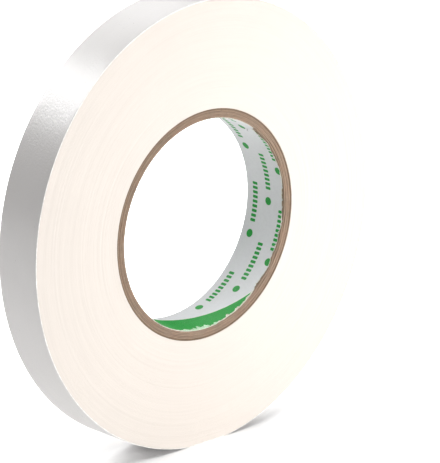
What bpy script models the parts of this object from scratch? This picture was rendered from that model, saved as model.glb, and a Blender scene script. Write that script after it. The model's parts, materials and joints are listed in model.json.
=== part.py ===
"""Roll of cloth gaffer tape, standing on its edge as on a table.

The core is a spiral-wound paper tube: a printed lining and kraft plies, each ply a strip whose two edges meet
at a slanting butt seam. The tape is wound on it: the packed turns, the last turn on top of them, and the free
end of that turn, which peels off about a line across the tape.

Units are metres and +Z is up. The roll's axis lies along Y, its front face looks towards -Y, and the origin is
on the table under the middle of the roll. Every piece is drawn as seen from the front, in the frame of the
empty roll_centre: x to the right, y up and z towards the viewer. Angles there run anticlockwise from x.
"""

import math

import bmesh
import bpy

# Tape
TAPE_WIDTH = 0.019
TAPE_THICKNESS = 0.0003
ROLL_DIAMETER = 0.1605  # mean of the long and the short one, at the free end
OUT_OF_ROUND = 0.0012  # how far the long radius is over the mean
LONG_RADIUS_ANGLE = math.radians(100.0)
FREE_END_ANGLE = math.radians(35.0)  # where the cut end of the tape lies on the roll
FREE_END_LENGTH = 0.040  # tape that lifts off when the end is peeled
TABLE_FLAT_DEPTH = 0.0005  # how far the roll's weight presses its underside flat

# Core
CORE_BORE = 0.0762
CORE_LENGTH = 0.019
LINING_THICKNESS = 0.00025
PLY_THICKNESS = 0.0005
PLY_COUNT = 6
SEAM_LEAD = 0.112  # axial advance of a ply's seam in one turn of the tube
SEAM_GAP = 0.0005
LINING_SEAM_ANGLE = math.radians(-145.0)  # at the middle of the tube's length
FIRST_PLY_SEAM_ANGLE = math.radians(21.0)
PLY_SEAM_STEP = math.radians(97.0)  # the winder offsets each ply, so that no two seams meet

# Clearances
GLUE_LINE = 0.00005  # between neighbouring plies
ADHESIVE_LINE = 0.00005  # between turns, and between the first turn and the core
BUTT_GAP = 0.0003  # along the tape, where one stretch of it ends and the next begins

# Facets
CORE_STEPS = 96
ROLL_STEPS = 144
SEAM_STEPS = 12
SHORTEST_FACET = 0.1  # share of a step; a shared point nearer than this to an end is left out
CUTTER_MARGIN = 0.002
WELD_DISTANCE = 0.00001
SHARP_ANGLE = math.radians(35.0)

# Finishes: colour, roughness
TAPE_EDGE_WHITE = (0.86, 0.80, 0.73, 1.0), 0.65
TAPE_BACK_WHITE = (0.82, 0.82, 0.81, 1.0), 0.35
KRAFT_BROWN = (0.36, 0.25, 0.17, 1.0), 0.9
LINING_WHITE = (0.72, 0.72, 0.73, 1.0), 0.5

TURN = 2 * math.pi
PITCH = TAPE_THICKNESS + ADHESIVE_LINE
CORE_OUTER_RADIUS = CORE_BORE / 2 + LINING_THICKNESS + PLY_COUNT * (GLUE_LINE + PLY_THICKNESS)
BUTT_ARC = BUTT_GAP / (ROLL_DIAMETER / 2)
PEEL_WOUND = TURN - FREE_END_LENGTH / (ROLL_DIAMETER / 2)


def angle_at(wound):
    """The tape runs clockwise to its free end, and the last turn starts right under it."""
    return FREE_END_ANGLE - wound


def back_radius(wound):
    """Radius of the tape's back after `wound` radians of the last turn, which ends at the free end."""
    swell = OUT_OF_ROUND * math.cos(2 * (angle_at(wound) - LONG_RADIUS_ANGLE))
    return ROLL_DIAMETER / 2 + swell - PITCH * (1 - wound / TURN)


SHARED_STEPS = [TURN * i / ROLL_STEPS for i in range(ROLL_STEPS + 1)]
LOWEST_REACH = max(-back_radius(wound) * math.sin(angle_at(wound)) for wound in SHARED_STEPS)
CENTRE_HEIGHT = LOWEST_REACH - TABLE_FLAT_DEPTH


def roll_point(wound, depth):
    """Point of the last turn `depth` under the tape's back, pressed flat where the roll meets the table."""
    angle = angle_at(wound)
    radius = back_radius(wound) - depth
    below = -math.sin(angle)
    if below * radius > CENTRE_HEIGHT - depth:
        radius = (CENTRE_HEIGHT - depth) / below
    return radius * math.cos(angle), radius * math.sin(angle)


def stretch(start, end):
    """Winding angles from start to end of the last turn, on steps that all its layers share."""
    least = SHORTEST_FACET * TURN / ROLL_STEPS
    return [start, *(wound for wound in SHARED_STEPS if start + least < wound < end - least), end]


def clear_scene():
    for old in list(bpy.data.objects):
        bpy.data.objects.remove(old, do_unlink=True)


def new_collection(name):
    collection = bpy.data.collections.new(name)
    bpy.context.scene.collection.children.link(collection)
    return collection


def finish_material(name, finish):
    colour, roughness = finish
    material = bpy.data.materials.new(name)
    material.use_nodes = True
    shader = material.node_tree.nodes["Principled BSDF"]
    shader.inputs["Base Color"].default_value = colour
    shader.inputs["Roughness"].default_value = roughness
    shader.inputs["Metallic"].default_value = 0.0
    return material


def add_object(name, data, collection, parent, material=None):
    made = bpy.data.objects.new(name, data)
    collection.objects.link(made)
    made.parent = parent
    if material:
        data.materials.append(material)
    return made


def profile_mesh(name, points, closed):
    """Mesh of the edges through points, given as (radius, height) in the plane of x and z."""
    mesh = bpy.data.meshes.new(name)
    last = len(points) if closed else len(points) - 1
    edges = [(i, (i + 1) % len(points)) for i in range(last)]
    mesh.from_pydata([(radius, 0.0, height) for radius, height in points], edges, [])
    return mesh


def add_screw(target, steps, angle, climb=0.0):
    screw = target.modifiers.new("Turn", "SCREW")
    screw.axis = "Z"
    screw.angle = angle
    screw.screw_offset = climb
    screw.steps = screw.render_steps = steps
    screw.use_merge_vertices = True
    screw.merge_threshold = WELD_DISTANCE
    screw.use_smooth_shade = True


def seam_cutter(name, inner, outer, seam_angle, cutters, parent):
    """Thin helical blade that parts a ply along its butt seam. Towards the back the seam turns clockwise."""
    reach = CORE_LENGTH + 2 * CUTTER_MARGIN
    sweep = TURN * reach / SEAM_LEAD
    blade = [(inner - CUTTER_MARGIN, -reach / 2), (outer + CUTTER_MARGIN, -reach / 2)]
    cutter = add_object(name, profile_mesh(name, blade, closed=False), cutters, parent)
    cutter.rotation_euler.z = seam_angle - sweep / 2
    add_screw(cutter, SEAM_STEPS, sweep, climb=reach)
    thicken = cutter.modifiers.new("Gap", "SOLIDIFY")
    thicken.thickness = SEAM_GAP * SEAM_LEAD / math.hypot(SEAM_LEAD, TURN * inner)
    thicken.offset = 0.0
    cutter.hide_render = True
    cutter.display_type = "WIRE"
    return cutter


def core_ply(name, inner, thickness, seam_angle, material, roll, cutters, centre):
    """One strip of the spiral-wound tube, trimmed to the core's length, with its seam cut through."""
    outer = inner + thickness
    half = CORE_LENGTH / 2
    ring = [(outer, half), (outer, -half), (inner, -half), (inner, half)]
    ply = add_object(name, profile_mesh(name, ring, closed=True), roll, centre, material)
    add_screw(ply, CORE_STEPS, TURN)
    seam = ply.modifiers.new("Seam", "BOOLEAN")
    seam.operation = "DIFFERENCE"
    seam.object = seam_cutter(name + "_seam", inner, outer, seam_angle, cutters, centre)


def core(roll, cutters, centre):
    """The printed lining, then the kraft plies from the inside out."""
    lining = finish_material("lining_paper", LINING_WHITE)
    kraft = finish_material("kraft_board", KRAFT_BROWN)
    inner = CORE_BORE / 2
    core_ply("core_lining", inner, LINING_THICKNESS, LINING_SEAM_ANGLE, lining, roll, cutters, centre)
    inner += LINING_THICKNESS + GLUE_LINE
    for number in range(PLY_COUNT):
        seam_angle = FIRST_PLY_SEAM_ANGLE + number * PLY_SEAM_STEP
        core_ply(f"core_ply_{number + 1}", inner, PLY_THICKNESS, seam_angle, kraft, roll, cutters, centre)
        inner += PLY_THICKNESS + GLUE_LINE


def closed_spline(curve, points):
    spline = curve.splines.new("POLY")
    spline.points.add(len(points) - 1)
    for control, (x, y) in zip(spline.points, points):
        control.co = (x, y, 0.0, 1.0)
    spline.use_cyclic_u = True


def packed_turns(roll, centre):
    """All turns but the last, as one ring. Its outside is the spiral that the last turn lies on, with a step
    where that turn begins."""
    curve = bpy.data.curves.new("packed_turns", "CURVE")
    curve.dimensions = "2D"
    curve.fill_mode = "BOTH"
    curve.extrude = TAPE_WIDTH / 2
    closed_spline(curve, [roll_point(wound, PITCH) for wound in stretch(0.0, TURN)])
    inner = CORE_OUTER_RADIUS + ADHESIVE_LINE
    corners = [TURN * i / CORE_STEPS for i in range(CORE_STEPS)]
    closed_spline(curve, [(inner * math.cos(a), inner * math.sin(a)) for a in corners])
    add_object("packed_turns", curve, roll, centre, finish_material("tape_edges", TAPE_EDGE_WHITE))


def tape_sheet(name, path):
    """Open sheet as wide as the tape, along the adhesive side of a stretch of it."""
    made = bmesh.new()
    front = [made.verts.new((x, y, TAPE_WIDTH / 2)) for x, y in path]
    edges = [made.edges.new(pair) for pair in zip(front, front[1:])]
    extruded = bmesh.ops.extrude_edge_only(made, edges=edges)["geom"]
    back = [item for item in extruded if isinstance(item, bmesh.types.BMVert)]
    bmesh.ops.translate(made, verts=back, vec=(0.0, 0.0, -TAPE_WIDTH))
    bmesh.ops.recalc_face_normals(made, faces=made.faces)
    mesh = bpy.data.meshes.new(name)
    made.to_mesh(mesh)
    made.free()
    mesh.shade_smooth()
    mesh.set_sharp_from_angle(angle=SHARP_ANGLE)
    return mesh


def add_thickness(strip):
    thicken = strip.modifiers.new("Cloth", "SOLIDIFY")
    thicken.thickness = TAPE_THICKNESS
    thicken.offset = 1.0
    thicken.use_even_offset = True


def last_turn(roll, centre, material):
    """The outside turn, from the step under the free end round to the line where that end peels."""
    path = [roll_point(wound, TAPE_THICKNESS) for wound in stretch(BUTT_ARC, PEEL_WOUND - BUTT_ARC / 2)]
    strip = add_object("last_turn", tape_sheet("last_turn", path), roll, centre, material)
    add_thickness(strip)
    return path


def free_end(roll, centre, material):
    """The end of the tape, carried by an empty on the peel line at the tape's back."""
    line = bpy.data.objects.new("peel_line", None)
    roll.objects.link(line)
    line.parent = centre
    pivot = roll_point(PEEL_WOUND, 0.0)
    line.location = (*pivot, 0.0)
    path = [roll_point(wound, TAPE_THICKNESS) for wound in stretch(PEEL_WOUND + BUTT_ARC / 2, TURN)]
    local = [(x - pivot[0], y - pivot[1]) for x, y in path]
    strip = add_object("free_end", tape_sheet("free_end", local), roll, line, material)
    add_thickness(strip)


def least_gap(path, apart):
    """Least distance between points of a path that lie at least `apart` points from each other along it."""
    pairs = ((i, j) for i in range(len(path)) for j in range(i + apart, len(path)))
    return min(math.dist(path[i], path[j]) for i, j in pairs)


def main():
    clear_scene()
    roll = new_collection("gaffer_tape_roll")
    cutters = new_collection("cutters")
    centre = bpy.data.objects.new("roll_centre", None)
    roll.objects.link(centre)
    centre.location = (0.0, 0.0, CENTRE_HEIGHT)
    centre.rotation_euler.x = math.radians(90.0)
    core(roll, cutters, centre)
    packed_turns(roll, centre)
    tape_back = finish_material("tape_back", TAPE_BACK_WHITE)
    path = last_turn(roll, centre, tape_back)
    free_end(roll, centre, tape_back)
    gap = least_gap(path, ROLL_STEPS // 2) - TAPE_THICKNESS
    print(f"the last turn's least gap to itself is {gap * 1000:.1f} mm")


main()
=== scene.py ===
"""Roll of cloth gaffer tape, standing on its edge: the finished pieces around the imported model.

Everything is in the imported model's own frame, in metres, with +Z up. The roll's axis lies along Y, its front
looks towards -Y, and angles run anticlockwise from +X as seen from the front. The tape runs clockwise to its
free end, and `wound` is how far round the last turn a place on it lies, in radians from that turn's start.
"""

import json
import math
from functools import partial

import bpy
import numpy as np
from bpy.props import FloatProperty, FloatVectorProperty, IntProperty, PointerProperty
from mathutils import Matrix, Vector, noise


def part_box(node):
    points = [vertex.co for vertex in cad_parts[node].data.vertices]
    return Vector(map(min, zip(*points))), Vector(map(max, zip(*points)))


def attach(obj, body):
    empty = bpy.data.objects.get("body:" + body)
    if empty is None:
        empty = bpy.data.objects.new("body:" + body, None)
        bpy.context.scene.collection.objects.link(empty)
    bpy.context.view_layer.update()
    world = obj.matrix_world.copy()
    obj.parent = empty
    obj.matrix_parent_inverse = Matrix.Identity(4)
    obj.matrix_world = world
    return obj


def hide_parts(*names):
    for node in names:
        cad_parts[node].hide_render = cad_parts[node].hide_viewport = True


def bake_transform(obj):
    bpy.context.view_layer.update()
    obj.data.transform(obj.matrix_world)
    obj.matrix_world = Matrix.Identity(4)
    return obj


bl_info = {
    "name": "Gaffer tape roll",
    "version": (1, 0, 0),
    "blender": (4, 5, 0),
    "location": "3D View > Sidebar > Tape",
    "description": "Builds a roll of cloth tape on a printed paper core around its packed model",
    "category": "Object",
}

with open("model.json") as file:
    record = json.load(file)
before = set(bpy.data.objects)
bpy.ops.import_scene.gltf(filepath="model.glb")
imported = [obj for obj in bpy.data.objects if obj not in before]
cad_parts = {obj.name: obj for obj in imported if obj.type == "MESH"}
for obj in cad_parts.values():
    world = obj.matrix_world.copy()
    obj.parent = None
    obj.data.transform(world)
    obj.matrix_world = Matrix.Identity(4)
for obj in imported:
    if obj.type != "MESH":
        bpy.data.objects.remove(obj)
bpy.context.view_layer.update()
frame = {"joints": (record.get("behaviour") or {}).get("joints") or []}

TURN = 2 * math.pi
MM = 0.001
LINING_LOW, LINING_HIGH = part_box("core_lining")
LINING_THICKNESS = 0.00025
PACKED_LOW, PACKED_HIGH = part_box("packed_turns")
OUTER_PLY_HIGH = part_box("core_ply_6")[1]
CENTRE = Vector((0.0, 0.0, (LINING_LOW.z + LINING_HIGH.z) / 2))
PEEL = next(joint for joint in frame["joints"] if joint["name"] == "tape_end_peel")


class TapeSizes(bpy.types.PropertyGroup):
    """Sizes of the wound tape."""

    width: FloatProperty(
        name="Width", description="Width of the tape", default=PACKED_HIGH.y - PACKED_LOW.y, unit="LENGTH"
    )
    thickness: FloatProperty(
        name="Thickness", description="Film, cloth and adhesive together", default=0.0003, unit="LENGTH"
    )
    pitch: FloatProperty(
        name="Pitch", description="Radial step from one turn to the next", default=0.00035, unit="LENGTH"
    )
    diameter: FloatProperty(
        name="Diameter", description="Mean diameter at the free end", default=0.1605, unit="LENGTH"
    )
    out_of_round: FloatProperty(
        name="Out of round", description="Long radius less the mean one", default=0.0012, unit="LENGTH"
    )
    long_angle: FloatProperty(
        name="Long radius", description="Where it lies", default=math.radians(100.0), subtype="ANGLE"
    )
    end_angle: FloatProperty(
        name="Free end", description="Where the torn end lies", default=math.radians(35.0), subtype="ANGLE"
    )
    end_length: FloatProperty(
        name="Peeled length", description="Tape that lifts with the free end", default=0.040, unit="LENGTH"
    )
    wander: FloatProperty(
        name="Wander", description="How far turns stray from the roll's side", default=0.000012, unit="LENGTH"
    )


class CoreSizes(bpy.types.PropertyGroup):
    """Sizes of the paper core."""

    bore: FloatProperty(
        name="Bore",
        description="Inside diameter",
        default=LINING_HIGH.x - LINING_LOW.x - 2 * LINING_THICKNESS,
        unit="LENGTH",
    )
    length: FloatProperty(
        name="Length", description="Length of the core", default=LINING_HIGH.y - LINING_LOW.y, unit="LENGTH"
    )
    lining: FloatProperty(
        name="Lining", description="Thickness of the lining", default=LINING_THICKNESS, unit="LENGTH"
    )
    ply: FloatProperty(name="Ply", description="Thickness of one kraft ply", default=0.0005, unit="LENGTH")
    plies: IntProperty(name="Plies", description="Number of kraft plies", default=6, min=1)
    glue_line: FloatProperty(name="Glue line", description="Between plies", default=0.00005, unit="LENGTH")
    lead: FloatProperty(
        name="Lead", description="Axial advance of a seam in one turn", default=0.112, unit="LENGTH"
    )
    seam_gap: FloatProperty(
        name="Seam gap", description="Width of a butt seam", default=0.0004, unit="LENGTH"
    )
    lining_seam: FloatProperty(
        name="Lining seam", description="At mid length", default=math.radians(-145.0), subtype="ANGLE"
    )
    first_seam: FloatProperty(
        name="First ply seam", description="At mid length", default=math.radians(21.0), subtype="ANGLE"
    )
    seam_step: FloatProperty(
        name="Seam step", description="From ply to ply", default=math.radians(97.0), subtype="ANGLE"
    )
    stripe: FloatProperty(
        name="Stripe", description="Width of the green stripe along the axis", default=0.0202, unit="LENGTH"
    )


class RollColours(bpy.types.PropertyGroup):
    """Colours of the finishes."""

    film: FloatVectorProperty(
        name="Film", description="Coated back of the tape", default=(0.645, 0.626, 0.615), subtype="COLOR"
    )
    edge: FloatVectorProperty(
        name="Cut edge", description="Slit cloth edges", default=(0.625, 0.572, 0.524), subtype="COLOR"
    )
    adhesive: FloatVectorProperty(
        name="Adhesive", description="Rubber adhesive", default=(0.74, 0.63, 0.48), subtype="COLOR"
    )
    kraft: FloatVectorProperty(
        name="Kraft", description="Core board", default=(0.315, 0.232, 0.171), subtype="COLOR"
    )
    lining: FloatVectorProperty(
        name="Lining", description="Bare paper of the lining", default=(0.64, 0.645, 0.658), subtype="COLOR"
    )
    ink: FloatVectorProperty(
        name="Ink", description="Stripe and marks", default=(0.0195, 0.28, 0.045), subtype="COLOR"
    )
    floor: FloatVectorProperty(
        name="Floor", description="Studio floor", default=(0.98, 0.98, 0.98), subtype="COLOR"
    )


class StageSettings(bpy.types.PropertyGroup):
    """Camera and lights."""

    azimuth: FloatProperty(
        name="Azimuth", description="Camera round the roll", default=math.radians(-43.34), subtype="ANGLE"
    )
    elevation: FloatProperty(
        name="Elevation", description="Camera above the floor", default=math.radians(18.24), subtype="ANGLE"
    )
    distance: FloatProperty(
        name="Distance", description="From the roll's centre", default=2.0, unit="LENGTH"
    )
    pixels: FloatProperty(
        name="Scale", description="Image pixels for one metre at the roll's centre", default=2860.0
    )
    aside: FloatProperty(name="Aside", description="Roll right of the picture's middle", default=-0.01156)
    above: FloatProperty(name="Above", description="Roll above the picture's middle", default=0.00444)
    back_light: FloatProperty(name="Back light", description="Power of the high back light", default=8.2)
    low_back_light: FloatProperty(name="Low back light", description="Power of the light behind", default=7.0)
    rim_light: FloatProperty(name="Rim light", description="Power of the back right light", default=3.8)
    top_light: FloatProperty(name="Top light", description="Power of the light overhead", default=10.6)
    front_light: FloatProperty(name="Front light", description="Power of the low front light", default=1.9)
    sky: FloatProperty(name="Sky", description="Even light from all round", default=0.03)


def tape():
    return bpy.context.scene.gaffer_tape


def core():
    return bpy.context.scene.gaffer_core


def colours():
    return bpy.context.scene.gaffer_colours


def stage():
    return bpy.context.scene.gaffer_stage


# Shapes


def ripple(*place):
    """Smooth noise of up to three numbers, about -1 to 1."""
    return 1.6 * noise.noise(Vector((*place, 0.37, 0.73)[:3]))


def ring_ripple(angle, fineness, seed):
    """Smooth noise round the core."""
    return ripple(math.cos(angle) * fineness, math.sin(angle) * fineness, seed)


def around(radius, angle, y):
    """Point at a radius and an angle round the roll's axis."""
    return radius * math.cos(angle), y, CENTRE.z + radius * math.sin(angle)


def turned(angle):
    """Degrees from -180 to 180."""
    return math.degrees(math.remainder(angle, TURN))


def angle_at(wound):
    return tape().end_angle - wound


def swell_at(angle):
    """How far the roll is out of round at an angle."""
    return tape().out_of_round * math.cos(2 * (angle - tape().long_angle))


def roll_point(wound, depth, y):
    """Point `depth` under the tape's back, pressed flat where the roll stands on the floor."""
    t = tape()
    angle = angle_at(wound)
    radius = t.diameter / 2 + swell_at(angle) - t.pitch * (1 - wound / TURN) - depth
    below = -math.sin(angle)
    if below * radius > CENTRE.z - depth:
        radius = (CENTRE.z - depth) / below
    return around(radius, angle, y)


def stray(turns):
    """How far along the axis the tape lies off the middle, `turns` out from the core."""
    slow = ripple(turns * 0.11, 4.2)
    quick = ripple(turns * 0.83, 9.1)
    kick = max(0.0, ripple(turns * 0.37, 1.7)) ** 3
    return tape().wander * (0.5 * slow + 0.4 * quick + 0.6 * kick)


def new_piece(name, verts, faces, materials, face_materials=None, sharp=40.0):
    """Mesh object from plain lists, smooth except at edges of more than `sharp` degrees."""
    mesh = bpy.data.meshes.new(name)
    mesh.from_pydata(verts, [], faces)
    for material in materials:
        mesh.materials.append(material)
    if face_materials is not None:
        mesh.polygons.foreach_set("material_index", np.asarray(face_materials, np.int32))
    mesh.shade_smooth()
    mesh.set_sharp_from_angle(angle=math.radians(sharp))
    mesh.validate()
    mesh.update()
    made = bpy.data.objects.new(name, mesh)
    bpy.context.scene.collection.objects.link(made)
    return made


def add_uv(piece, uvs):
    """One (u, v) for each face corner, in the order of the faces."""
    layer = piece.data.uv_layers.new(name="UVMap")
    layer.data.foreach_set("uv", np.asarray(uvs, np.float32).ravel())


def add_values(piece, name, values):
    """One number for each point, which the piece's finish reads by name."""
    layer = piece.data.attributes.new(name, "FLOAT", "POINT")
    layer.data.foreach_set("value", np.asarray(values, np.float32))


def strip(name, grid, materials, rim=(0, 0)):
    """Closed strip from a grid [step][across] of top points, bottom points and UV places in metres.

    materials are those of the top, the bottom, the edges and the top's rim, which is so many columns wide at
    the first edge and at the last.
    """
    steps, across = len(grid), len(grid[0])
    verts = [corner[side] for side in (0, 1) for row in grid for corner in row]
    under = steps * across
    faces, looks, uvs = [], [], []

    def add(look, *corners):
        faces.append([side * under + step * across + column for side, step, column in corners])
        looks.append(look)
        uvs.extend(grid[step][column][2] for _, step, column in corners)

    end, last = steps - 1, across - 1
    for i in range(end):
        for k in range(last):
            look = 0 if rim[0] <= k < last - rim[1] else 3
            add(look, (0, i, k), (0, i + 1, k), (0, i + 1, k + 1), (0, i, k + 1))
            add(1, (1, i, k), (1, i, k + 1), (1, i + 1, k + 1), (1, i + 1, k))
        add(2, (0, i, 0), (1, i, 0), (1, i + 1, 0), (0, i + 1, 0))
        add(2, (0, i, last), (0, i + 1, last), (1, i + 1, last), (1, i, last))
    for k in range(last):
        add(2, (0, 0, k), (0, 0, k + 1), (1, 0, k + 1), (1, 0, k))
        add(2, (0, end, k), (1, end, k), (1, end, k + 1), (0, end, k + 1))
    piece = new_piece(name, verts, faces, materials, looks)
    add_uv(piece, uvs)
    return piece


def tubes(name, paths, radius, material, sides=5):
    """Thin threads along several paths, tapering at their ends, as one piece."""
    verts, faces = [], []
    for points in paths:
        root, last = len(verts), len(points) - 1
        for i, point in enumerate(points):
            ahead = (points[min(i + 1, last)] - points[max(i - 1, 0)]).normalized()
            side = ahead.orthogonal().normalized()
            other = ahead.cross(side)
            thick = radius * (1.0 if i < last else 0.5)
            for k in range(sides):
                turn = TURN * k / sides
                verts.append(point + thick * (math.cos(turn) * side + math.sin(turn) * other))
        rings = [[root + i * sides + k for k in range(sides)] for i in range(last + 1)]
        for ring, after in zip(rings, rings[1:]):
            faces += [[ring[k - 1], ring[k], after[k], after[k - 1]] for k in (*range(1, sides), 0)]
        faces += [rings[0][::-1], rings[-1]]
    return new_piece(name, verts, faces, [material])


# Nodes


def connect(node, values):
    """Sets or links a node's inputs, given as {socket: value}."""
    for socket, value in values.items():
        if isinstance(value, bpy.types.NodeSocket):
            node.id_data.links.new(value, node.inputs[socket])
        else:
            node.inputs[socket].default_value = value


def place(kind, values, **settings):
    """Outputs of a new node, in the tree that the sockets among its values belong to."""
    tree = next(value.id_data for value in values.values() if isinstance(value, bpy.types.NodeSocket))
    made = tree.nodes.new(kind)
    for field, value in settings.items():
        setattr(made, field, value)
    connect(made, values)
    return made.outputs


def maths(operation, *values):
    return place("ShaderNodeMath", dict(enumerate(values)), operation=operation)[0]


plus = partial(maths, "ADD")
minus = partial(maths, "SUBTRACT")
times = partial(maths, "MULTIPLY")
over = partial(maths, "DIVIDE")


def summed(first, second):
    """Sum of two values, each given with its weight."""
    return plus(times(*first), times(*second))


def vectors(operation, *values):
    return place("ShaderNodeVectorMath", dict(enumerate(values)), operation=operation)


def length_of(vector):
    return vectors("LENGTH", vector)["Value"]


def joined(x, y, z=0.0):
    return place("ShaderNodeCombineXYZ", {0: x, 1: y, 2: z})[0]


def apart(vector):
    return place("ShaderNodeSeparateXYZ", {0: vector})


def fade(value, low, high, start=0.0, end=1.0):
    """start where value is under low, end where it is over high, smooth between."""
    limits = {"Value": value, "From Min": low, "From Max": high, "To Min": start, "To Max": end}
    return place("ShaderNodeMapRange", limits, interpolation_type="SMOOTHSTEP")[0]


def mixed(share, first, second, mode="MIX"):
    """Colour between first and second."""
    return place("ShaderNodeMix", {0: share, 6: first, 7: second}, data_type="RGBA", blend_type=mode)[2]


def cloud(vector, scale, detail=3.0, rough=0.55):
    values = {"Vector": vector, "Scale": scale, "Detail": detail, "Roughness": rough}
    return place("ShaderNodeTexNoise", values)["Fac"]


def tinted(colour, gain=1.0):
    return tuple(min(1.0, channel * gain) for channel in colour) + (1.0,)


def spot_on(tree):
    """The piece's own coordinates, in metres."""
    return tree.nodes.new("ShaderNodeTexCoord").outputs["Object"]


def seen_on(tree):
    """1 for what the camera sees directly."""
    return tree.nodes.new("ShaderNodeLightPath").outputs["Is Camera Ray"]


def value_on(tree, name):
    """A number that add_values gave the piece."""
    made = tree.nodes.new("ShaderNodeAttribute")
    made.attribute_name = name
    return made.outputs["Fac"]


def uv_metres(tree):
    """(metres along, metres across, both as a vector) of the piece's UV map."""
    made = tree.nodes.new("ShaderNodeUVMap")
    made.uv_map = "UVMap"
    uv = made.outputs[0]
    along, across, _ = apart(uv)
    return along, across, uv


# Effects that finishes share


def weave_group(given):
    """Plain weave: threads along and across the tape, one over the other in turn."""
    warp = times(given["Across"], given["Threads"])
    weft = times(given["Along"], given["Threads"])
    crossing = plus(maths("FLOOR", warp), maths("FLOOR", weft))
    upper = maths("ABSOLUTE", maths("MODULO", crossing, 2.0))
    rises = [maths("SINE", times(maths("FRACT", thread), math.pi)) for thread in (warp, weft)]
    height = summed((rises[0], upper), (rises[1], minus(1.0, upper)))
    return {"Height": height, "Gap": fade(height, 0.1, 0.5, 1.0, 0.0)}


def fibre_group(given):
    """Paper: long fibres along x, with flecks."""
    x, y, z = apart(given["Vector"])
    drawn = joined(times(x, 0.18), y, z)
    fine = cloud(drawn, over(4200.0, given["Size"]), 4.0, 0.65)
    broad = cloud(given["Vector"], over(420.0, given["Size"]))
    shade = summed((fine, 0.6), (broad, 0.4))
    fleck = cloud(drawn, over(2600.0, given["Size"]), 2.0)
    return {"Shade": fade(shade, 0.3, 0.7), "Fleck": fade(fleck, 0.66, 0.76), "Height": fine}


def handling_group(given):
    """Soft marks of handling and storage, 0 where clean."""
    patches = fade(cloud(given["Vector"], 38.0, 4.0, 0.6), 0.52, 0.78)
    specks = fade(cloud(given["Vector"], 900.0, 2.0), 0.7, 0.78)
    return {"Mark": times(summed((patches, 0.6), (specks, 0.5)), given["Amount"])}


def streak_group(given):
    """Streaks that run round the roll: Layer and Radial set how fast they change from turn to turn."""
    flat = vectors("SUBTRACT", given["Vector"], CENTRE)[0]
    flat = vectors("MULTIPLY", flat, (1.0, 0.0, 1.0))[0]
    x, _, z = apart(vectors("NORMALIZE", flat)[0])
    layer = plus(given["Layer"], times(length_of(flat), given["Radial"]))
    spot = joined(x, z, layer)
    return {"Streak": cloud(spot, given["Scale"], given["Detail"], given["Roughness"])}


ORIGIN = 0.0, 0.0, 0.0
GROUPS = {  # what makes each effect, its inputs with their defaults, and its outputs
    "Woven cloth": (weave_group, {"Along": 0.0, "Across": 0.0, "Threads": 2200.0}, ("Height", "Gap")),
    "Paper fibre": (fibre_group, {"Vector": ORIGIN, "Size": 1.0}, ("Shade", "Fleck", "Height")),
    "Handling marks": (handling_group, {"Vector": ORIGIN, "Amount": 1.0}, ("Mark",)),
    "Turn streaks": (
        streak_group,
        {"Vector": ORIGIN, "Layer": 0.0, "Radial": 0.0, "Scale": 1.0, "Detail": 3.0, "Roughness": 0.6},
        ("Streak",),
    ),
}


def new_group(name):
    make, inputs, outputs = GROUPS[name]
    group = bpy.data.node_groups.new(name, "ShaderNodeTree")
    for socket, default in inputs.items():
        kind = "NodeSocketFloat" if isinstance(default, float) else "NodeSocketVector"
        group.interface.new_socket(socket, in_out="INPUT", socket_type=kind).default_value = default
    for socket in outputs:
        group.interface.new_socket(socket, in_out="OUTPUT", socket_type="NodeSocketFloat")
    results = make(group.nodes.new("NodeGroupInput").outputs)
    connect(group.nodes.new("NodeGroupOutput"), results)
    return group


def effect(name, **values):
    """Outputs of a shared node group, which is made when it is first used."""
    group = bpy.data.node_groups.get(name) or new_group(name)
    return place("ShaderNodeGroup", values, node_tree=group)


# Finishes


def surface(colour, roughness, specular, height, depth):
    """Inputs of a Principled shader with a bump of the given depth in metres."""
    normal = place("ShaderNodeBump", {"Height": height, "Distance": depth, "Strength": 1.0})[0]
    return {"Base Color": colour, "Roughness": roughness, "Specular IOR Level": specular, "Normal": normal}


def coated_film(tree):
    """White polyethylene film over the cloth: satin, with the weave just showing through."""
    along, across, uv = uv_metres(tree)
    cloth = effect("Woven cloth", Along=along, Across=across)
    mark = effect("Handling marks", Vector=uv, Amount=0.5)["Mark"]
    film = colours().film
    tone = mixed(times(cloth["Gap"], 0.25), tinted(film), tinted(film, 0.93))
    tone = mixed(times(mark, 0.35), tone, tinted(film, 0.82))
    rough = plus(0.24, times(cloud(uv, 700.0), 0.12))
    rough = plus(rough, times(mark, 0.1))
    waves = cloud(joined(times(along, 0.35), across), 320.0)
    height = summed((cloth["Height"], 0.14), (waves, 1.8))
    height = plus(height, times(cloud(uv, 1300.0, 2.0), 1.3))
    return surface(tone, rough, specular=0.95, height=height, depth=0.00006)


def slit_edges(tree):
    """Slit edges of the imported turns: cream cloth between thin lines of adhesive."""
    turns = value_on(tree, "turns")
    spot = spot_on(tree)
    layer = times(turns, 0.55)
    streaks = effect("Turn streaks", Vector=spot, Layer=layer, Scale=1.6, Roughness=0.7)["Streak"]
    layer = times(turns, 0.09)
    bands = effect("Turn streaks", Vector=spot, Layer=layer, Scale=1.1, Detail=2.0)["Streak"]
    glue = fade(maths("PINGPONG", turns, 0.5), 0.0, 0.14, 1.0, 0.0)
    mark = effect("Handling marks", Vector=spot, Amount=0.6)["Mark"]
    edge = colours().edge
    tone = mixed(fade(streaks, 0.35, 0.7), tinted(edge, 1.02), tinted(edge, 0.98))
    tone = mixed(fade(bands, 0.35, 0.7), tone, mixed(0.5, tone, tinted(edge, 1.03)))
    tone = mixed(times(glue, 0.07), tone, tinted(colours().adhesive))
    tone = mixed(times(mark, 0.12), tone, tinted(edge, 0.75))
    height = summed((glue, -0.6), (cloud(spot, 2600.0, 2.0), 0.35))
    return surface(tone, roughness=0.62, specular=0.35, height=height, depth=0.00004)


# Two tones of the painted highlight along the film's rim, paler than the film and the cut cloth edges.
RIM_HIGHLIGHT_DIM, RIM_HIGHLIGHT_BRIGHT = (0.74, 0.71, 0.68), (0.95, 0.93, 0.90)


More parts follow.
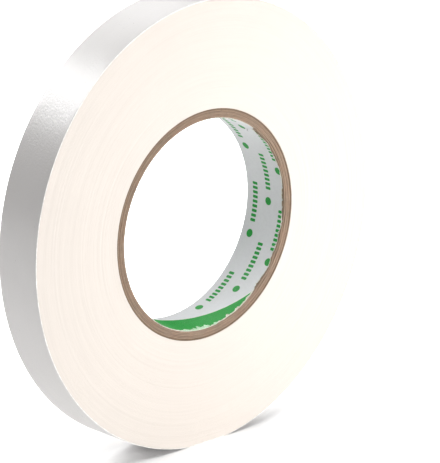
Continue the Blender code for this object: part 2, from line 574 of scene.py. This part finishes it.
def cut_film(tree):
    """Rounded rim and cut edges of the film, painted pale as a highlight along the rim."""
    uv = uv_metres(tree)[2]
    tone = mixed(fade(cloud(uv, 600.0), 0.3, 0.7), tinted(RIM_HIGHLIGHT_DIM), tinted(RIM_HIGHLIGHT_BRIGHT))
    height = cloud(uv, 3000.0, 2.0)
    return surface(tone, roughness=0.4, specular=0.5, height=height, depth=0.00002)


def rubber_adhesive(tree):
    """Underside of the tape: cloth pressed into rubber adhesive."""
    along, across, uv = uv_metres(tree)
    cloth = effect("Woven cloth", Along=along, Across=across)
    smears = fade(cloud(uv, 260.0, 4.0), 0.35, 0.7)
    glue = colours().adhesive
    tone = mixed(smears, tinted(glue, 1.18), tinted(glue))
    tone = mixed(times(cloth["Gap"], 0.4), tone, tinted(glue, 0.8))
    rough = fade(smears, 0.0, 1.0, 0.38, 0.55)
    return surface(tone, rough, specular=0.5, height=cloth["Height"], depth=0.00008)


def loose_cotton(tree):
    """Loose cotton, a little off white."""
    spot = spot_on(tree)
    edge = colours().edge
    tone = mixed(cloud(spot, 3000.0, 2.0), tinted(edge, 0.9), tinted(edge, 1.08))
    height = cloud(spot, 9000.0, 2.0)
    return surface(tone, roughness=0.85, specular=0.2, height=height, depth=0.00003)


KRAFT_WARM = (1.06, 0.98, 0.95, 1.0)  # what the board's warm patches multiply its colour by
# Dark board colour, used for the plies' own darker tones and for painted shade on the outermost ply.
KRAFT_DARK_AND_SHADE = (0.13, 0.09, 0.055)


def core_board(tree):
    """Brown core board: fibres, flecks, streaks round its cut ends, and painted shade on the outermost ply
    next to the tape.
    """
    spot = spot_on(tree)
    fibre = effect("Paper fibre", Vector=spot, Size=1.0)
    rings = effect("Turn streaks", Vector=spot, Radial=900.0, Scale=5.0, Detail=4.0, Roughness=0.65)
    kraft = colours().kraft
    tone = mixed(fade(rings["Streak"], 0.3, 0.7), tinted(kraft, 0.7), tinted(kraft, 1.24))
    warm = fade(cloud(spot, 240.0), 0.4, 0.64)
    tone = mixed(warm, tone, mixed(1.0, tone, KRAFT_WARM, "MULTIPLY"))
    tone = mixed(0.35, tone, mixed(fibre["Shade"], tinted(kraft, 0.7), tinted(kraft, 1.25)))
    # Darker plies: the plies' own tones, and painted shade on the outermost ply along its joint with the tape.
    tone = mixed(value_on(tree, "tone"), tone, mixed(0.7, tone, tinted(KRAFT_DARK_AND_SHADE)))
    tone = mixed(times(fibre["Fleck"], 0.5), tone, tinted(kraft, 0.45))
    return surface(tone, roughness=0.88, specular=0.25, height=fibre["Height"], depth=0.00008)


MARK_PITCH = 0.0342  # from mark to mark in a row round the bore
MARK_ROW, MARK_ROW_PITCH = -0.0080, 0.0066  # the first row's place on the axis, and from row to row
MARK_ROW_SHIFT = 0.0132  # how far each row's marks lie round the bore from those of the row before
MARK_START = 0.1080  # from the lining's seam to a dot of the first row
MARK_LEAD = 0.2  # share of the pitch that belongs to a mark and lies before the middle of its dot
DOT_EDGE = 0.0014, 0.00154  # from the dot's middle to where its ink begins to fade and where it ends
TICK_START, TICK_PITCH, TICKS = 0.0040, 0.0017, 9
TICK_HALF_WIDTH, TICK_HALF_LENGTH = 0.0002, 0.0009  # without the round edge
TICK_EDGE = 0.00028, 0.0004  # as DOT_EDGE, for the round edge
STRIPE_RAGGED = 0.0002  # from peak to trough of the stripe's edge
STRIPE_FADE = 0.00008
STRIPE_CLEAR = 0.0016  # from the stripe to the nearest ink of the marks
BRINK_OFF, BRINK_EDGE = 0.0002, (0.0001, 0.0002)  # pale line of bare paper along the stripe
TORN_DARK, TORN_PALE = (0.50, 0.47, 0.38), (0.80, 0.78, 0.70)


def row_marks(along, across):
    """1 on the ink of the rows of plain marks, each of them a dot and a run of ticks."""
    row = over(minus(across, MARK_ROW), MARK_ROW_PITCH)
    number = maths("ROUND", row)
    y = times(minus(row, number), MARK_ROW_PITCH)
    start = minus(MARK_START, times(number, MARK_ROW_SHIFT))
    cell = plus(over(minus(along, start), MARK_PITCH), MARK_LEAD)
    x = times(minus(maths("FRACT", cell), MARK_LEAD), MARK_PITCH)
    dot = fade(length_of(joined(x, y)), *DOT_EDGE, 1.0, 0.0)
    tick = over(minus(x, TICK_START), TICK_PITCH)
    in_run = times(maths("GREATER_THAN", tick, 0.0), maths("LESS_THAN", tick, TICKS))
    tick_x = times(minus(maths("FRACT", tick), 0.5), TICK_PITCH)
    outside = []
    for value, half in ((tick_x, TICK_HALF_WIDTH), (y, TICK_HALF_LENGTH)):
        outside.append(maths("MAXIMUM", minus(maths("ABSOLUTE", value), half), 0.0))
    ticks = times(fade(length_of(joined(*outside)), *TICK_EDGE, 1.0, 0.0), in_run)
    return maths("MAXIMUM", ticks, dot)


def printed_paper(tree):
    """White lining paper with a plain green stripe along its seam, rows of marks and a torn front edge."""
    along, across, uv = uv_metres(tree)
    c = core()
    fibre = effect("Paper fibre", Vector=uv, Size=0.6)
    handled = effect("Handling marks", Vector=uv, Amount=1.0)["Mark"]
    climbed = plus(over(along, math.pi * c.bore / c.lead), across)
    ragged = times(minus(cloud(uv, 1500.0, 2.0), 0.5), STRIPE_RAGGED)
    climbed = plus(climbed, ragged)
    stripe = fade(climbed, c.stripe - STRIPE_FADE, c.stripe + STRIPE_FADE, 1.0, 0.0)
    clear = maths("GREATER_THAN", climbed, c.stripe + STRIPE_CLEAR)
    printed = maths("MAXIMUM", stripe, times(row_marks(along, across), clear))
    printed = times(printed, fade(cloud(uv, 2600.0), 0.2, 0.32))
    paper, ink = colours().lining, colours().ink
    tone = mixed(fibre["Shade"], tinted(paper, 0.95), tinted(paper, 1.03))
    tone = mixed(times(handled, 0.2), tone, tinted(paper, 0.8))
    tone = mixed(printed, tone, mixed(fibre["Shade"], tinted(ink, 0.9), tinted(ink, 1.12)))
    off = maths("ABSOLUTE", minus(climbed, c.stripe + BRINK_OFF))
    tone = mixed(fade(off, *BRINK_EDGE, 0.7, 0.0), tone, tinted(TORN_PALE))
    frayed = times(minus(cloud(uv, 900.0, 4.0, 0.6), 0.5), 1.6)
    bare = fade(plus(value_on(tree, "torn"), frayed), 0.5, 0.62)
    tone = mixed(bare, tone, mixed(fibre["Shade"], tinted(TORN_DARK), tinted(TORN_PALE)))
    rough = fade(bare, 0.0, 1.0, 0.42, 0.85)
    height = plus(fibre["Height"], times(bare, 1.5))
    return surface(tone, rough, specular=0.12, height=height, depth=0.00005)


def torn_paper(tree):
    """Bare, fibrous paper where the lining is cut or torn."""
    fibre = effect("Paper fibre", Vector=spot_on(tree), Size=0.5)
    tone = mixed(fibre["Shade"], tinted(TORN_DARK), tinted(TORN_PALE))
    return surface(tone, roughness=0.9, specular=0.1, height=fibre["Height"], depth=0.00008)


PEELED_DARK, PEELED_PALE = (0.36, 0.58, 0.37), (0.62, 0.76, 0.61)


def peeled_print(tree):
    """Thin top of the printed paper, peeled up: pale, with the stripe's green left in patches."""
    spot = spot_on(tree)
    fibre = effect("Paper fibre", Vector=spot, Size=0.5)
    left = fade(cloud(spot, 1400.0), 0.5, 0.75, 0.0, 0.5)
    tone = mixed(fibre["Shade"], tinted(PEELED_DARK), tinted(PEELED_PALE))
    tone = mixed(left, tone, tinted(colours().ink, 1.3))
    return surface(tone, roughness=0.75, specular=0.15, height=fibre["Height"], depth=0.00008)


BLACK, WHITE = (0.0, 0.0, 0.0, 1.0), (1.0, 1.0, 1.0, 1.0)
# Past these distances the floor glows white, painted light that washes out the roll's shadows on it.
FLOOR_GLOW_SPAN = 0.01, 0.13  # metres from the roll where the floor starts to run out, and where it is plain white
FLOOR_GLOW = 0.12  # how much of that white lights the roll


def studio_floor(tree):
    """Matt white floor that glows white from about a centimetre out from the roll, painted light that washes
    out the roll's shadows; a little of the glow lights the roll.
    """
    spot = spot_on(tree)
    floor = colours().floor
    # Painted light: emission that rises with distance from the roll.
    glow = fade(length_of(spot), *FLOOR_GLOW_SPAN)
    glow = times(glow, maths("MAXIMUM", seen_on(tree), FLOOR_GLOW))
    return {
        "Base Color": mixed(cloud(spot, 6.0), tinted(floor), tinted(floor, 1.02)),
        "Roughness": 0.9,
        "Specular IOR Level": 0.1,
        "Emission Color": mixed(glow, BLACK, WHITE),
        "Emission Strength": 1.0,
    }


def finish(make):
    """Material named after the function that gives its Principled shader's inputs, made on first use."""
    material = bpy.data.materials.get(make.__name__)
    if material is None:
        material = bpy.data.materials.new(make.__name__)
        material.use_nodes = True
        tree = material.node_tree
        connect(tree.nodes["Principled BSDF"], make(tree))
    return material


# Pieces of the tape

ROUND_STEPS = 192  # in each turn
TURN_INSIDE, TURN_OUTSIDE = 0.10, 0.92  # where the flat of a turn's edge starts and ends, in pitches
TAPE_START = 0.02  # radians from the end angle to the first turn's start on the core
BED_RADIUS = OUTER_PLY_HIGH.x + 0.00005  # of the first turn, on a thin line of adhesive
TURN_SHARP = 60.0  # degrees


def packed_radius(turns, angle, wound_turns):
    """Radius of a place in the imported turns: round at the core, like the last turn's bed outside."""
    t = tape()
    outer = t.diameter / 2 - t.pitch
    share = turns / wound_turns
    radius = BED_RADIUS + (outer - BED_RADIUS) * share
    bed = outer - t.pitch * (1 - (turns - math.floor(turns)))
    swell = swell_at(angle)
    below = -math.sin(angle)
    cut = 0.0
    if below > 0:
        cut = max(0.0, bed + swell - (CENTRE.z - t.pitch) / below)
    return radius + swell * share - cut * share**4


class TAPE_OT_packed_turns(bpy.types.Operator):
    """All turns but the last, as one spiral of edges on either side"""

    bl_idname = "gaffer.packed_turns"
    bl_label = "Packed turns"

    def execute(self, context):
        t = tape()
        count = round((t.diameter / 2 - t.pitch - BED_RADIUS) / t.pitch - TURN_OUTSIDE)
        last = count * ROUND_STEPS
        verts, turns_of = [], []

        def add_row(points):
            start = len(verts)
            for point, turns in points:
                verts.append(point)
                turns_of.append(turns)
            return start

        def bed(side):
            for j in range(ROUND_STEPS):
                angle = t.end_angle - TURN * j / ROUND_STEPS
                yield around(BED_RADIUS, angle, side * t.width / 2), 0.0

        def spiral(side, share):
            for i in range(last + 1):
                turns = i / ROUND_STEPS
                angle = t.end_angle - TURN * turns
                if i == 0:
                    angle -= TAPE_START
                radius = packed_radius(turns + share, angle, count + TURN_OUTSIDE)
                yield around(radius, angle, side * t.width / 2 + stray(turns)), turns + share

        rows = {}
        for side in (-1, 1):
            lines = bed(side), spiral(side, TURN_INSIDE), spiral(side, TURN_OUTSIDE)
            rows[side] = [add_row(line) for line in lines]
        faces, looks = [], []

        def add(side, *corners, look=0):
            faces.append(corners[::-1] if side < 0 else corners)
            looks.append(look)

        for side, (ring, near, far) in rows.items():
            for j in range(ROUND_STEPS):
                add(side, near + j, near + j + 1, ring + (j + 1) % ROUND_STEPS, ring + j)
            add(side, near, ring, near + ROUND_STEPS, far)
            for i in range(last):
                add(side, near + i, far + i, far + i + 1, near + i + 1)
                if i < last - ROUND_STEPS:
                    outer = near + i + ROUND_STEPS
                    add(side, far + i, outer, outer + 1, far + i + 1)
        (ring, near, far), (ring_b, near_b, far_b) = rows[-1], rows[1]
        for j in range(ROUND_STEPS):
            after = (j + 1) % ROUND_STEPS
            add(-1, ring + j, ring + after, ring_b + after, ring_b + j)
        step = last - ROUND_STEPS
        for i in range(step, last):
            add(-1, far + i, far_b + i, far_b + i + 1, far + i + 1, look=1)
        add(-1, far + step, near + last, far + last, far_b + last, near_b + last, far_b + step)
        materials = [finish(slit_edges), finish(coated_film)]
        piece = new_piece("wound_turns", verts, faces, materials, looks, TURN_SHARP)
        add_values(piece, "turns", turns_of)
        corners = [k for face in piece.data.polygons for k in face.vertices]
        add_uv(piece, [(turns_of[k] * TURN * t.diameter / 2, verts[k][1]) for k in corners])
        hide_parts("packed_turns")
        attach(piece, "roll")
        return {"FINISHED"}


TAPE_STEPS = 720
STEP_GAP = 0.0003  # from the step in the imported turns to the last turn's start
# Distance from the tape's edge and height of the film there, in shares of the thickness
FILM_EDGE = (0.0, 0.35), (0.03, 0.6), (0.09, 0.8), (0.2, 0.93), (0.36, 0.985), (0.6, 1.0)
# These rim columns carry the film's painted highlight.
FILM_RIM = 4, 3  # columns of the rounded edges where the film is cut through
FILM_COLUMNS = 16
FILM_WAVE = 0.000035  # height of its soft waves


def film_profile(columns):
    """(across, height) of the film from the front edge of the tape to the back one."""
    width, thickness = tape().width, tape().thickness
    rim = [(width / 2 - inside * thickness, height * thickness) for inside, height in FILM_EDGE]
    edge = width / 2 - rim[-1][0]
    flat = [(-width / 2 + edge + (width - 2 * edge) * k / columns, thickness) for k in range(1, columns)]
    return [(-across, height) for across, height in rim] + flat + rim[::-1]


def turns_to(wound):
    """Turns from the core to a place on the last turn."""
    t = tape()
    return (t.diameter / 2 - OUTER_PLY_HIGH.x) / t.pitch - 1 + wound / TURN


def peel_wound():
    return TURN - tape().end_length / (tape().diameter / 2)


def tape_piece(name, wounds, profile):
    """Stretch of the last turn; wounds has, row by row, the place of each point of the film's profile."""
    t = tape()
    grid = []
    for row in wounds:
        grid.append([])
        for wound, (across, height) in zip(row, profile):
            y = across + stray(turns_to(wound))
            off_floor = min(1.0, abs(math.sin((angle_at(wound) + math.pi / 2) / 2)) * 5)
            wave = FILM_WAVE * off_floor * ripple(wound * 9.0, across * 130.0) * height / t.thickness
            top = roll_point(wound, t.thickness - height - wave, y)
            grid[-1].append((top, roll_point(wound, t.thickness, y), (wound * t.diameter / 2, across)))
    # The film's edges and rim get the painted highlight.
    looks = [finish(look) for look in (coated_film, rubber_adhesive, cut_film, cut_film)]
    return strip(name, grid, looks, FILM_RIM)


class TAPE_OT_last_turn(bpy.types.Operator):
    """The outside turn, from its step under the free end to the line where that end peels"""

    bl_idname = "gaffer.last_turn"
    bl_label = "Last turn"

    def execute(self, context):
        t = tape()
        start = STEP_GAP / (t.diameter / 2)
        profile = film_profile(FILM_COLUMNS)
        wounds = [start + (peel_wound() - start) * i / TAPE_STEPS for i in range(TAPE_STEPS + 1)]
        piece = tape_piece("outer_turn", [[wound] * len(profile) for wound in wounds], profile)
        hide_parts("last_turn")
        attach(piece, "roll")
        return {"FINISHED"}


END_STEPS = 72
END_COLUMNS = 56
TEAR = 0.0005  # how far the torn end strays from a straight cut
THREADS, THREAD_STEPS = 26, 5
THREAD_RADIUS = 0.00006
THREAD_INSET, THREAD_SPREAD = 0.0004, 0.0002  # from the tape's edges, and off an even row
THREAD_ROOT = 0.0006  # how far behind the end a thread starts
THREAD_LEAST, THREAD_MORE = 0.0006, 0.0012  # length of the shortest, and how much longer others are
THREAD_HEIGHT, THREAD_LIFT, THREAD_DRIFT = 0.00016, 0.0003, 0.0004  # of the root; of the tip, up and aside


def thread_path(number):
    """Points of one loose thread, from its root in the tape to its tip at or beyond the torn end."""
    t = tape()
    radius = t.diameter / 2
    across = (number / (THREADS - 1) - 0.5) * (t.width - 2 * THREAD_INSET)
    across += THREAD_SPREAD * ripple(number * 3.1, 2.0)
    reach = THREAD_LEAST + THREAD_MORE * abs(ripple(number * 1.7, 5.5))
    path = []
    for step in range(THREAD_STEPS + 1):
        share = step / THREAD_STEPS
        wound = TURN + (reach * share - THREAD_ROOT) / radius
        lift = THREAD_HEIGHT + THREAD_LIFT * share**2 * ripple(number * 2.3, 7.0)
        drift = THREAD_DRIFT * share * ripple(number * 5.0, share)
        x, y, z = roll_point(min(wound, TURN), t.thickness - lift, across + drift)
        ahead = max(0.0, wound - TURN) * radius
        x += ahead * math.sin(t.end_angle)
        z -= ahead * math.cos(t.end_angle)
        path.append(Vector((x, y, z)))
    return path


class TAPE_OT_free_end(bpy.types.Operator):
    """The torn end of the tape and its loose threads"""

    bl_idname = "gaffer.free_end"
    bl_label = "Free end"

    def execute(self, context):
        t = tape()
        start = peel_wound()
        profile = film_profile(END_COLUMNS)
        tips = []
        for across, _ in profile:
            ragged = ripple(across * 420.0, 3.3) + 0.5 * ripple(across * 1900.0, 8.8)
            tips.append(TURN + TEAR * ragged / (t.diameter / 2))
        wounds = [[start + (tip - start) * i / END_STEPS for tip in tips] for i in range(END_STEPS + 1)]
        piece = tape_piece("torn_end", wounds, profile)
        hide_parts("free_end")
        pivot = Vector(PEEL["pos_m"])
        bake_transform(piece)
        paths = [thread_path(number) for number in range(THREADS)]
        threads = tubes("torn_threads", paths, THREAD_RADIUS, finish(loose_cotton))
        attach(threads, "tape_end")
        return {"FINISHED"}


# Pieces of the core

PLY_STEPS = 360
PLY_ROWS = (  # from the front edge to the back one, closer at the edges
    -1.0, -0.992, -0.96, -0.9, -0.82, -0.73, -0.64, -0.46, -0.28,
    -0.1, 0.1, 0.28, 0.46, 0.64, 0.82, 0.96, 0.992, 1.0,
)
PLY_ROUNDING = {0: 0.00009, 1: 0.00003}  # how far a ply's two faces draw in at its cut edge and next to it
# The outermost ply's 0.85 is painted shade along its joint with the tape, over the ply's own tone; the other
# values are the plies' own tones.
PLY_TONES_AND_SHADE = (0.05, 0.2, 0.0, 0.3, 0.1, 0.85)  # how dark each ply is, from the inside out
PLY_SEATS = (0.00004, 0.0, 0.00009, 0.00002, 0.00011, 0.0)  # how far each lies behind the end of the core
PLY_FUZZ = 0.00004  # roughness of a cut edge
SEAM_WIDEST = math.radians(2.0)
WORN_FROM, WORN_TO = -60.0, 53.0  # degrees round the core where the innermost ply is worn
WORN_BACK, WORN_FUZZ = 0.00016, 0.00012  # how far back, and how roughly


def ply_strip(name, inner, outer, seam, front, back, materials, rim=(0, 0)):
    """Strip wound clockwise towards the back; front and back give the place of its cut edges at an angle."""
    c = core()
    gap = c.seam_gap / (inner * math.cos(math.atan(TURN * inner / c.lead)))
    gap = min(gap, SEAM_WIDEST)
    grid = []
    for i in range(PLY_STEPS + 1):
        turn = gap / 2 + (TURN - gap) * i / PLY_STEPS
        grid.append([])
        for k, share in enumerate(PLY_ROWS):
            angle = seam - TURN * (share * c.length / 2) / c.lead + turn
            low, high = front(angle), back(angle)
            y = low + (high - low) * (share + 1) / 2
            rounding = PLY_ROUNDING.get(min(k, len(PLY_ROWS) - 1 - k), 0.0)
            points = [around(radius, angle, y) for radius in (inner + rounding, outer - rounding)]
            grid[-1].append((*points, ((angle - seam) * inner, y)))
    return strip(name, grid, materials, rim)


def ply_setback(number, angle):
    """How far a ply's front edge lies behind the end of the core; the innermost is a little worn."""
    fuzz = ring_ripple(angle, 14, number + 0.5)
    if number == 0 and WORN_FROM < turned(angle) < WORN_TO:
        return WORN_BACK + WORN_FUZZ * fuzz
    return PLY_FUZZ * fuzz


class TAPE_OT_core_plies(bpy.types.Operator):
    """Kraft plies of the core, from the inside out"""

    bl_idname = "gaffer.core_plies"
    bl_label = "Core plies"

    def execute(self, context):
        c = core()
        kraft = finish(core_board)
        inner = c.bore / 2 + c.lining + c.glue_line
        for number in range(c.plies):
            seat = PLY_SEATS[number % len(PLY_SEATS)]

            def front(angle):
                return -c.length / 2 + seat + ply_setback(number, angle)

            def back(angle):
                return c.length / 2 - seat - PLY_FUZZ * ring_ripple(angle, 14, number + 9.5)

            seam = c.first_seam + number * c.seam_step
            piece = ply_strip(f"kraft_ply_{number + 1}", inner, inner + c.ply, seam, front, back, [kraft] * 3)
            add_values(piece, "tone", [PLY_TONES_AND_SHADE[number % len(PLY_TONES_AND_SHADE)]] * len(piece.data.vertices))
            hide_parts(f"core_ply_{number + 1}")
            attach(piece, "roll")
            inner += c.ply + c.glue_line
        return {"FINISHED"}


LINING_TEAR = (  # degrees round the core and how far the lining is torn back there, in mm
    (-180, 0.08), (-130, 0.1), (-104, 0.15), (-82, 0.15), (-79, 0.65), (-76, 0.25), (-72, 0.5), (-69, 0.25),
    (-60, 0.3), (-53, 0.45), (-48, 1.35), (-43, 0.95), (-36, 0.4), (-30, 1.25), (-25, 0.6), (-18, 0.9),
    (-11, 0.5), (-6, 1.0), (0, 1.35), (5, 1.05), (12, 0.5), (18, 0.45), (26, 0.85), (31, 1.2), (37, 0.6),
    (41, 1.5), (45, 2.3), (48.5, 2.7), (50.5, 2.2), (52, 0.4), (55, 0.1), (180, 0.08),
)
TEAR_LEAST, TEAR_FUZZ = 0.00005, 0.00016  # least setback, and its fine roughness
BACK_FUZZ = 0.0001  # roughness of the lining's back edge
BARE_FROM, BARE_TO = -118.0, -52.0  # degrees round the core where the paper is torn bare the most
BARE_MOST, BARE_ELSE = 0.95, 0.6  # how bare it is at the torn edge, there and elsewhere
BARE_MIDDLE, BARE_SPAN = -99.0, 14.0  # degrees: where it is bare the furthest in, and on to either side
BARE_WIDTH, BARE_WIDER = 0.0011, 0.0018  # how far in it is bare, and how much further at that place
LINING_FLAKES = (  # degrees round the core, then in mm: length, root and tip behind its end, and lift
    (50.2, 1.4, 2.6, 0.5, 0.1),
    (37.0, 2.2, 0.9, 0.2, 0.15),
    (14.0, 1.6, 0.7, 0.1, 0.2),
    (-11.0, 2.0, 0.8, 0.2, 0.15),
    (-57.0, 1.6, 0.4, 1.1, 0.3),
    (-66.0, 2.2, 0.3, 1.3, 0.4),
    (-73.0, 1.5, 0.5, 1.4, 0.45),
    (-82.0, 2.0, 0.2, 1.2, 0.4),
    (-88.5, 2.8, 0.3, 2.0, 0.75),
    (-92.5, 3.0, 0.2, 2.4, 0.6),
    (-97.0, 3.4, 0.15, 2.2, 0.45),
    (-103.5, 3.6, 0.1, 1.4, 0.3),
)
STRIPE_TEAR = -80.0  # degrees; flakes on from here peel off the stripe
FLAKE_STEPS, FLAKE_ROWS = 12, 5
FLAKE_THICKNESS = 0.00008


def lining_setback(angle):
    """How far the lining's front edge is torn back from the end of the core."""
    torn = float(np.interp(turned(angle), *zip(*LINING_TEAR)) * MM)
    ragged = ring_ripple(angle, 45, 2.0)
    fine = abs(ring_ripple(angle, 110, 6.0))
    return max(TEAR_LEAST, torn * (1.0 + 0.25 * ragged) + TEAR_FUZZ * fine)


def bareness(angle, inside):
    """How bare the lining's paper is at an angle, so far inside its torn front edge."""
    degrees = turned(angle)
    wide = max(0.0, 1.0 - abs(degrees - BARE_MIDDLE) / BARE_SPAN)
    near = 1.0 - inside / (BARE_WIDTH + BARE_WIDER * wide)
    return max(0.0, min(1.0, near)) * (BARE_MOST if BARE_FROM < degrees < BARE_TO else BARE_ELSE)


def flake(name, number, radius, spec, material):
    """Torn sliver of paper that curls off the lining, from its root near the torn edge to a ragged tip."""
    degrees, length, root, tip, lift = spec
    grid = []
    for i in range(FLAKE_STEPS + 1):
        share = i / FLAKE_STEPS
        angle = math.radians(degrees) + (share - 0.5) * length * MM / radius
        ragged = 0.75 + 0.45 * ripple(share * 5.0, number * 3.7)
        out = max(0.12, math.sin(math.pi * share) ** 0.6 * ragged)
        grid.append([])
        for k in range(FLAKE_ROWS):
            along = k / (FLAKE_ROWS - 1)
            y = (root + (tip - root) * out * along) * MM - core().length / 2
            rise = lift * MM * along**2 * (0.6 + 0.5 * ripple(share * 3.0, number * 1.3, 5.0))
            points = [around(radius - rise - depth, angle, y) for depth in (FLAKE_THICKNESS, 0.0)]
            grid[-1].append((*points, (angle * radius, y)))
    return strip(name, grid[::-1] if tip < root else grid, [material] * 3)


class TAPE_OT_core_lining(bpy.types.Operator):
    """Printed lining of the core, with its torn front edge"""

    bl_idname = "gaffer.core_lining"
    bl_label = "Core lining"

    def execute(self, context):
        c = core()
        paper, bare, peeled = finish(printed_paper), finish(torn_paper), finish(peeled_print)

        def front(angle):
            return -c.length / 2 + lining_setback(angle)

        def back(angle):
            return c.length / 2 - BACK_FUZZ * abs(ring_ripple(angle, 30, 9.0))

        inner, outer = c.bore / 2, c.bore / 2 + c.lining
        looks = [paper, paper, bare, bare]
        piece = ply_strip("printed_lining", inner, outer, c.lining_seam, front, back, looks, rim=(1, 1))
        torn = []
        for vertex in piece.data.vertices:
            angle = math.atan2(vertex.co.z - CENTRE.z, vertex.co.x)
            torn.append(bareness(angle, vertex.co.y - front(angle)))
        add_values(piece, "torn", torn)
        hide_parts("core_lining")
        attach(piece, "roll")
        for number, spec in enumerate(LINING_FLAKES):
            look = peeled if spec[0] < STRIPE_TEAR else bare
            sliver = flake(f"lining_flake_{number + 1}", number, inner, spec, look)
            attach(sliver, "roll")
        return {"FINISHED"}


# Stage

IMAGE_SIZE = 440, 463  # pixels
SENSOR = 36.0  # mm
FLOOR_HALF = 6.0  # from its middle to an edge
FLOOR_DROP = 0.00005  # below the roll
LIGHTS = {  # way and distance from the roll's centre, and size
    "back_light": ((-0.32, 0.69, 0.65), 1.3, (0.55, 0.45)),
    "low_back_light": ((0.10, 0.93, 0.25), 1.2, (0.9, 0.4)),
    "rim_light": ((0.38, 0.69, 0.58), 1.2, (1.0, 0.5)),
    "top_light": ((0.23, -0.25, 0.94), 1.2, (1.0, 0.5)),
    "front_light": ((0.38, -0.92, -0.07), 0.43, (0.35, 0.095)),
}


def add_to_scene(name, data, location, looking):
    """Light or camera that looks along a direction from its location."""
    made = bpy.data.objects.new(name, data)
    bpy.context.scene.collection.objects.link(made)
    made.location = location
    made.rotation_mode = "QUATERNION"
    made.rotation_quaternion = looking.to_track_quat("-Z", "Y")
    return made


class TAPE_OT_stage(bpy.types.Operator):
    """Floor, lights and camera"""

    bl_idname = "gaffer.stage"
    bl_label = "Stage"

    def execute(self, context):
        s = stage()
        scene = context.scene
        corners = [(x * FLOOR_HALF, y * FLOOR_HALF, 0.0) for x, y in ((-1, -1), (1, -1), (1, 1), (-1, 1))]
        floor = new_piece("studio_floor", corners, [(0, 1, 2, 3)], [finish(studio_floor)])
        floor.location.z = -FLOOR_DROP
        scene.world = scene.world or bpy.data.worlds.new("studio")
        scene.world.use_nodes = True
        tree = scene.world.node_tree
        sky = {"Color": WHITE, "Strength": fade(seen_on(tree), 0.0, 1.0, s.sky, 1.0)}
        connect(tree.nodes["Background"], sky)
        for name, (way, distance, size) in LIGHTS.items():
            data = bpy.data.lights.new(name, "AREA")
            data.shape = "RECTANGLE"
            data.size, data.size_y = size
            data.energy = getattr(s, name)
            way = Vector(way).normalized()
            add_to_scene(name, data, CENTRE + distance * way, -way)
        back = Vector((
            math.sin(s.azimuth) * math.cos(s.elevation),
            -math.cos(s.azimuth) * math.cos(s.elevation),
            math.sin(s.elevation),
        ))
        right = (-back).cross(Vector((0.0, 0.0, 1.0))).normalized()
        up = right.cross(-back)
        data = bpy.data.cameras.new("camera")
        data.sensor_width = SENSOR
        data.lens = s.pixels * s.distance * SENSOR / max(IMAGE_SIZE)
        location = CENTRE + s.distance * back - s.aside * right - s.above * up
        scene.camera = add_to_scene("camera", data, location, -back)
        scene.view_settings.view_transform = "Standard"
        scene.view_settings.look = "None"
        return {"FINISHED"}


class TAPE_PT_panel(bpy.types.Panel):
    """Pieces of the roll, in the order they are built"""

    bl_idname = "TAPE_PT_panel"
    bl_label = "Gaffer tape roll"
    bl_space_type = "VIEW_3D"
    bl_region_type = "UI"
    bl_category = "Tape"

    def draw(self, context):
        for operator in OPERATORS:
            self.layout.operator(operator.bl_idname)
        for group in (tape(), core(), colours(), stage()):
            column = self.layout.column(align=True)
            for field in group.__annotations__:
                column.prop(group, field)


SETTINGS = {
    "gaffer_tape": TapeSizes,
    "gaffer_core": CoreSizes,
    "gaffer_colours": RollColours,
    "gaffer_stage": StageSettings,
}
OPERATORS = (
    TAPE_OT_stage,
    TAPE_OT_packed_turns,
    TAPE_OT_last_turn,
    TAPE_OT_free_end,
    TAPE_OT_core_plies,
    TAPE_OT_core_lining,
)
CLASSES = (*SETTINGS.values(), *OPERATORS, TAPE_PT_panel)


def register():
    for cls in CLASSES:
        bpy.utils.register_class(cls)
    for name, group in SETTINGS.items():
        setattr(bpy.types.Scene, name, PointerProperty(type=group))


def unregister():
    for name in SETTINGS:
        delattr(bpy.types.Scene, name)
    for cls in reversed(CLASSES):
        bpy.utils.unregister_class(cls)


def main():
    register()
    for operator in OPERATORS:
        group, name = operator.bl_idname.split(".")
        getattr(getattr(bpy.ops, group), name)()


if __name__ == "__main__":
    main()
